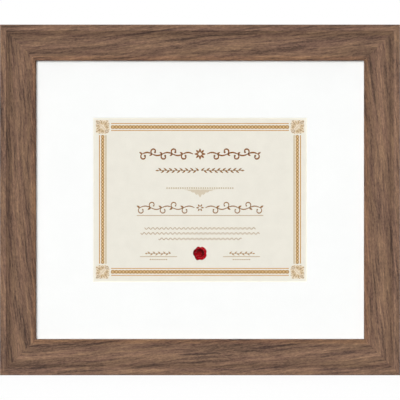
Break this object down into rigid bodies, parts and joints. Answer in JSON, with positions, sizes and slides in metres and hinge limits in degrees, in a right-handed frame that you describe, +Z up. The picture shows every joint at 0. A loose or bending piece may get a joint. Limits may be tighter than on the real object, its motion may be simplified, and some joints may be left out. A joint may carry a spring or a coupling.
{
  "type": "picture frame",
  "caption": "Rectangular wall picture frame in mitred wood moulding, holding a glazed and matted certificate, with turn buttons, ring hangers and bumpers on the back.",
  "frame": {"origin": "on the wall plane, straight behind the centre of the picture", "axes": "+Z up, +Y into the wall, +X to the viewer's right; the picture faces -Y"},
  "size_m": [0.511, 0.0258, 0.4476],
  "materials": {
    "walnut": "satin wood grain",
    "framing_glass": "polished",
    "mat_board": "matte",
    "certificate_paper": "matte parchment",
    "corner_paper": "matte",
    "seal_wax": "glossy wax",
    "hardboard": "smooth hardboard",
    "zinc_steel": "zinc plated",
    "bumper_rubber": "matte"
  },
  "bodies": {
    "frame": {"top_rail": "walnut", "right_rail": "walnut", "bottom_rail": "walnut", "left_rail": "walnut", "glazing": "framing_glass", "window_mat": "mat_board", "certificate": "certificate_paper", "wax_seal": "seal_wax", "mount_board": "mat_board", "backing_board": "hardboard", "mounting_corner_top_right": "corner_paper", "mounting_corner_bottom_right": "corner_paper", "mounting_corner_bottom_left": "corner_paper", "mounting_corner_top_left": "corner_paper", "v_nail_top_right_inner": "zinc_steel", "v_nail_top_right_outer": "zinc_steel", "v_nail_bottom_right_inner": "zinc_steel", "v_nail_bottom_right_outer": "zinc_steel", "v_nail_bottom_left_inner": "zinc_steel", "v_nail_bottom_left_outer": "zinc_steel", "v_nail_top_left_inner": "zinc_steel", "v_nail_top_left_outer": "zinc_steel", "button_screw_top_1": "zinc_steel", "button_screw_top_2": "zinc_steel", "button_screw_right_1": "zinc_steel", "button_screw_right_2": "zinc_steel", "button_screw_bottom_1": "zinc_steel", "button_screw_bottom_2": "zinc_steel", "button_screw_left_1": "zinc_steel", "button_screw_left_2": "zinc_steel", "hanger_strap_left": "zinc_steel", "hanger_strap_right": "zinc_steel", "hanger_screw_left_upper": "zinc_steel", "hanger_screw_left_lower": "zinc_steel", "hanger_screw_right_upper": "zinc_steel", "hanger_screw_right_lower": "zinc_steel", "bumper_left": "bumper_rubber", "bumper_right": "bumper_rubber"},
    "button_top_1": {"turn_button_top_1": "zinc_steel"},
    "button_top_2": {"turn_button_top_2": "zinc_steel"},
    "button_right_1": {"turn_button_right_1": "zinc_steel"},
    "button_right_2": {"turn_button_right_2": "zinc_steel"},
    "button_bottom_1": {"turn_button_bottom_1": "zinc_steel"},
    "button_bottom_2": {"turn_button_bottom_2": "zinc_steel"},
    "button_left_1": {"turn_button_left_1": "zinc_steel"},
    "button_left_2": {"turn_button_left_2": "zinc_steel"},
    "ring_left": {"hanger_ring_left": "zinc_steel"},
    "ring_right": {"hanger_ring_right": "zinc_steel"}
  },
  "joints": [
    {"name": "button_top_1_turn", "type": "hinge", "parent": "frame", "child": "button_top_1", "pos_m": [-0.13955, -0.0047, 0.19007], "axis": [0, 1, 0], "continuous": true},
    {"name": "button_top_2_turn", "type": "hinge", "parent": "frame", "child": "button_top_2", "pos_m": [0.13955, -0.0047, 0.19007], "axis": [0, 1, 0], "continuous": true},
    {"name": "button_right_1_turn", "type": "hinge", "parent": "frame", "child": "button_right_1", "pos_m": [0.22182, -0.0047, 0.1078], "axis": [0, 1, 0], "continuous": true},
    {"name": "button_right_2_turn", "type": "hinge", "parent": "frame", "child": "button_right_2", "pos_m": [0.22182, -0.0047, -0.1078], "axis": [0, 1, 0], "continuous": true},
    {"name": "button_bottom_1_turn", "type": "hinge", "parent": "frame", "child": "button_bottom_1", "pos_m": [0.13955, -0.0047, -0.19007], "axis": [0, 1, 0], "continuous": true},
    {"name": "button_bottom_2_turn", "type": "hinge", "parent": "frame", "child": "button_bottom_2", "pos_m": [-0.13955, -0.0047, -0.19007], "axis": [0, 1, 0], "continuous": true},
    {"name": "button_left_1_turn", "type": "hinge", "parent": "frame", "child": "button_left_1", "pos_m": [-0.22182, -0.0047, -0.1078], "axis": [0, 1, 0], "continuous": true},
    {"name": "button_left_2_turn", "type": "hinge", "parent": "frame", "child": "button_left_2", "pos_m": [-0.22182, -0.0047, 0.1078], "axis": [0, 1, 0], "continuous": true},
    {"name": "ring_left_swing", "type": "hinge", "parent": "frame", "child": "ring_left", "pos_m": [-0.23755, -0.003, 0.0651], "axis": [1, 0, 0], "range_deg": [0, 175]},
    {"name": "ring_right_swing", "type": "hinge", "parent": "frame", "child": "ring_right", "pos_m": [0.23755, -0.003, 0.0651], "axis": [1, 0, 0], "range_deg": [0, 175]}
  ]
}
